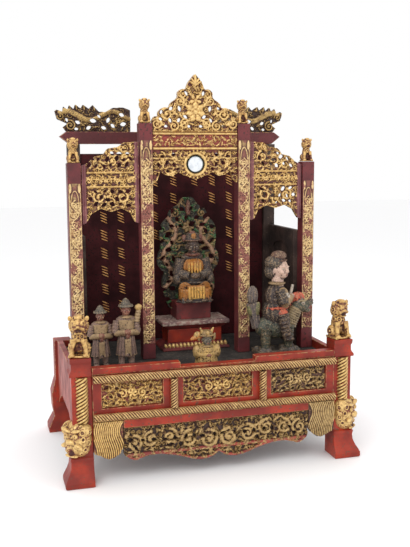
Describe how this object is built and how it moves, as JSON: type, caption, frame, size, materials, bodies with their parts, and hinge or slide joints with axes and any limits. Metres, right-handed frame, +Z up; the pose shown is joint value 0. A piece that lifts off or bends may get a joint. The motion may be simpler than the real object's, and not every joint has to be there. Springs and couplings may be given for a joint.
{
  "type": "altar shrine",
  "caption": "Carved, lacquered and gilded altar shrine on a low stand, with a pierced pediment, lion finials, side bays and loose carved figures.",
  "frame": {"origin": "on the ground at the middle of the stand's outline", "axes": "+X to the right as seen from the front, +Y to the back, +Z up"},
  "size_m": [0.404, 0.262, 0.5252],
  "materials": {
    "worn_gold": "worn gilding over red lacquer",
    "red_lacquer": "worn satin lacquer",
    "maroon_lacquer": "worn satin lacquer",
    "dark_wood": "dark lacquer",
    "grey_board": "matt, bare",
    "painted_wood": "worn paint and gilding",
    "painted_green": "worn paint and gilding",
    "mirror_glass": "silvered glass"
  },
  "bodies": {
    "root": {"frieze_panel_left": "worn_gold", "frieze_panel_middle": "worn_gold", "frieze_panel_right": "worn_gold", "rope_top": "worn_gold", "rope_bottom": "worn_gold", "rope_upright_left": "worn_gold", "rope_upright_right": "worn_gold", "mane_block_left": "worn_gold", "mane_block_right": "worn_gold", "apron": "worn_gold", "post_lion_left": "worn_gold", "post_lion_right": "worn_gold", "column_lion_outer_left": "worn_gold", "column_lion_outer_right": "worn_gold", "column_lion_inner_left": "worn_gold", "column_lion_inner_right": "worn_gold", "pediment": "worn_gold", "mirror_spandrel": "worn_gold", "valance_left": "worn_gold", "valance_right": "worn_gold", "dragon_left": "worn_gold", "dragon_right": "worn_gold", "guardian_figure": "worn_gold", "leg_front_left": "red_lacquer", "leg_front_right": "red_lacquer", "leg_back_left": "red_lacquer", "leg_back_right": "red_lacquer", "frieze_frame": "red_lacquer", "top_rail": "red_lacquer", "lower_rail": "red_lacquer", "stand_side_left": "red_lacquer", "stand_side_right": "red_lacquer", "stand_back": "red_lacquer", "pedestal": "red_lacquer", "column_outer_left": "maroon_lacquer", "column_outer_right": "maroon_lacquer", "column_inner_left": "maroon_lacquer", "column_inner_right": "maroon_lacquer", "frieze_board": "maroon_lacquer", "roof_beam": "maroon_lacquer", "back_post_left": "dark_wood", "back_post_right": "dark_wood", "side_wall_left": "dark_wood", "side_wall_right": "dark_wood", "back_wall": "dark_wood", "floor_board": "grey_board", "deity": "painted_wood", "attendant_left": "painted_wood", "attendant_right": "painted_wood", "rider_on_beast": "painted_wood", "throne": "painted_green", "mirror": "mirror_glass"}
  },
  "joints": []
}
